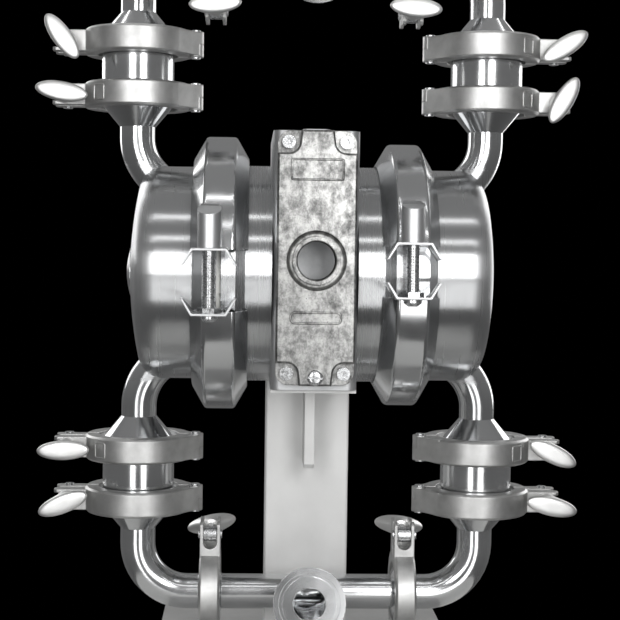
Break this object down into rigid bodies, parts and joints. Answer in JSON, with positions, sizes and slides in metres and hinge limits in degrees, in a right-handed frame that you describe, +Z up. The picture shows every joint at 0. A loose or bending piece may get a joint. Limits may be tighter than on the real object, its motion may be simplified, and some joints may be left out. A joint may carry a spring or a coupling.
{
  "type": "air operated diaphragm pump",
  "caption": "Hygienic double diaphragm pump driven by compressed air, with ball valves in clamped housings, tube manifolds and a column stand.",
  "frame": {"origin": "underside of the base plate, straight below the pump axis in the middle of the pump", "axes": "+X along the pump axis to the right-hand chamber, -Y to the front, +Z up"},
  "size_m": [0.3847, 0.2538, 0.556],
  "materials": {
    "nickel_cover": "bright nickel on a mottled casting",
    "block_alloy": "satin",
    "drum_steel": "satin stainless",
    "polished_steel": "polished stainless",
    "band_steel": "polished stainless sheet",
    "cast_clamp": "blasted investment casting",
    "fastener_steel": "bright stainless",
    "shaft_steel": "ground",
    "bearing_polymer": "machined polymer",
    "diaphragm_ptfe": "smooth white polymer",
    "ball_rubber": "moulded white rubber",
    "gasket_rubber": "moulded",
    "stand_steel": "light satin stainless",
    "wing_nut_steel": "light satin casting"
  },
  "bodies": {
    "pump": {"front_cover": "nickel_cover", "front_cover_plug": "nickel_cover", "center_block": "block_alloy", "air_valve_body": "block_alloy", "air_valve_caps": "block_alloy", "left_air_chamber": "drum_steel", "right_air_chamber": "drum_steel", "left_liquid_chamber": "polished_steel", "right_liquid_chamber": "polished_steel", "valve_housings": "polished_steel", "manifold_elbows": "polished_steel", "discharge_tee": "polished_steel", "suction_tee": "polished_steel", "band_upper_halves": "band_steel", "band_lower_halves": "band_steel", "housing_clamp_front_halves": "cast_clamp", "housing_clamp_rear_halves": "cast_clamp", "pipe_clamp_front_halves": "cast_clamp", "pipe_clamp_rear_halves": "cast_clamp", "front_cover_screws": "fastener_steel", "air_valve_screws": "fastener_steel", "air_chamber_screws": "fastener_steel", "band_bolts": "fastener_steel", "band_nuts": "fastener_steel", "clamp_pins": "fastener_steel", "swing_bolts": "fastener_steel", "stand_screws": "fastener_steel", "pilot_sleeve": "shaft_steel", "shaft_bushings": "bearing_polymer", "valve_seats": "bearing_polymer", "left_diaphragm": "diaphragm_ptfe", "right_diaphragm": "diaphragm_ptfe", "front_cover_gasket": "gasket_rubber", "air_valve_gasket": "gasket_rubber", "ferrule_gaskets": "gasket_rubber", "stand_base": "stand_steel", "stand_column": "stand_steel", "stand_shelf": "stand_steel"},
    "shaft": {"shaft": "shaft_steel", "inner_pistons": "block_alloy", "outer_pistons": "polished_steel"},
    "pilot_spool": {"pilot_spool": "shaft_steel"},
    "air_valve_spool": {"air_valve_spool": "shaft_steel"},
    "ball_discharge_left": {"ball_discharge_left": "ball_rubber"},
    "ball_discharge_right": {"ball_discharge_right": "ball_rubber"},
    "ball_suction_left": {"ball_suction_left": "ball_rubber"},
    "ball_suction_right": {"ball_suction_right": "ball_rubber"},
    "wing_nut_discharge_left_inner": {"wing_nut_discharge_left_inner": "wing_nut_steel"},
    "wing_nut_discharge_left_outer": {"wing_nut_discharge_left_outer": "wing_nut_steel"},
    "wing_nut_pipe_discharge_left": {"wing_nut_pipe_discharge_left": "wing_nut_steel"},
    "wing_nut_discharge_right_inner": {"wing_nut_discharge_right_inner": "wing_nut_steel"},
    "wing_nut_discharge_right_outer": {"wing_nut_discharge_right_outer": "wing_nut_steel"},
    "wing_nut_pipe_discharge_right": {"wing_nut_pipe_discharge_right": "wing_nut_steel"},
    "wing_nut_suction_left_inner": {"wing_nut_suction_left_inner": "wing_nut_steel"},
    "wing_nut_suction_left_outer": {"wing_nut_suction_left_outer": "wing_nut_steel"},
    "wing_nut_pipe_suction_left": {"wing_nut_pipe_suction_left": "wing_nut_steel"},
    "wing_nut_suction_right_inner": {"wing_nut_suction_right_inner": "wing_nut_steel"},
    "wing_nut_suction_right_outer": {"wing_nut_suction_right_outer": "wing_nut_steel"},
    "wing_nut_pipe_suction_right": {"wing_nut_pipe_suction_right": "wing_nut_steel"}
  },
  "joints": [
    {"name": "shaft_stroke", "type": "slide", "parent": "pump", "child": "shaft", "axis": [1, 0, 0], "range_m": [-0.011, 0.011], "deforming": ["left_diaphragm", "right_diaphragm"]},
    {"name": "pilot_shift", "type": "slide", "parent": "pump", "child": "pilot_spool", "axis": [1, 0, 0], "range_m": [-0.003, 0.003]},
    {"name": "air_valve_shift", "type": "slide", "parent": "pump", "child": "air_valve_spool", "axis": [0, 0, 1], "range_m": [0, 0.01]},
    {"name": "ball_discharge_left_lift", "type": "slide", "parent": "pump", "child": "ball_discharge_left", "axis": [0, 0, 1], "range_m": [0, 0.0065]},
    {"name": "ball_discharge_right_lift", "type": "slide", "parent": "pump", "child": "ball_discharge_right", "axis": [0, 0, 1], "range_m": [0, 0.0065]},
    {"name": "ball_suction_left_lift", "type": "slide", "parent": "pump", "child": "ball_suction_left", "axis": [0, 0, 1], "range_m": [0, 0.0065]},
    {"name": "ball_suction_right_lift", "type": "slide", "parent": "pump", "child": "ball_suction_right", "axis": [0, 0, 1], "range_m": [0, 0.0065]},
    {"name": "wing_nut_discharge_left_inner_turn", "type": "hinge", "parent": "pump", "child": "wing_nut_discharge_left_inner", "pos_m": [-0.1754, -0.0127, 0.41], "axis": [0, -1, 0], "continuous": true},
    {"name": "wing_nut_discharge_left_outer_turn", "type": "hinge", "parent": "pump", "child": "wing_nut_discharge_left_outer", "pos_m": [-0.1754, -0.0127, 0.4476], "axis": [0, -1, 0], "continuous": true},
    {"name": "wing_nut_pipe_discharge_left_turn", "type": "hinge", "parent": "pump", "child": "wing_nut_pipe_discharge_left", "pos_m": [-0.07, -0.0127, 0.4726], "axis": [0, -1, 0], "continuous": true},
    {"name": "wing_nut_discharge_right_inner_turn", "type": "hinge", "parent": "pump", "child": "wing_nut_discharge_right_inner", "pos_m": [0.1754, -0.0127, 0.41], "axis": [0, -1, 0], "continuous": true},
    {"name": "wing_nut_discharge_right_outer_turn", "type": "hinge", "parent": "pump", "child": "wing_nut_discharge_right_outer", "pos_m": [0.1754, -0.0127, 0.4476], "axis": [0, -1, 0], "continuous": true},
    {"name": "wing_nut_pipe_discharge_right_turn", "type": "hinge", "parent": "pump", "child": "wing_nut_pipe_discharge_right", "pos_m": [0.07, -0.0127, 0.4726], "axis": [0, -1, 0], "continuous": true},
    {"name": "wing_nut_suction_left_inner_turn", "type": "hinge", "parent": "pump", "child": "wing_nut_suction_left_inner", "pos_m": [-0.1729, -0.0127, 0.16], "axis": [0, -1, 0], "continuous": true},
    {"name": "wing_nut_suction_left_outer_turn", "type": "hinge", "parent": "pump", "child": "wing_nut_suction_left_outer", "pos_m": [-0.1729, -0.0127, 0.1224], "axis": [0, -1, 0], "continuous": true},
    {"name": "wing_nut_pipe_suction_left_turn", "type": "hinge", "parent": "pump", "child": "wing_nut_pipe_suction_left", "pos_m": [-0.07, 0.0127, 0.0974], "axis": [0, 1, 0], "continuous": true},
    {"name": "wing_nut_suction_right_inner_turn", "type": "hinge", "parent": "pump", "child": "wing_nut_suction_right_inner", "pos_m": [0.1729, -0.0127, 0.16], "axis": [0, -1, 0], "continuous": true},
    {"name": "wing_nut_suction_right_outer_turn", "type": "hinge", "parent": "pump", "child": "wing_nut_suction_right_outer", "pos_m": [0.1729, -0.0127, 0.1224], "axis": [0, -1, 0], "continuous": true},
    {"name": "wing_nut_pipe_suction_right_turn", "type": "hinge", "parent": "pump", "child": "wing_nut_pipe_suction_right", "pos_m": [0.07, 0.0127, 0.0974], "axis": [0, 1, 0], "continuous": true}
  ],
  "couplings": [
    {"joint": "pilot_shift", "follows": "shaft_stroke", "ratio": 0.2727}
  ]
}
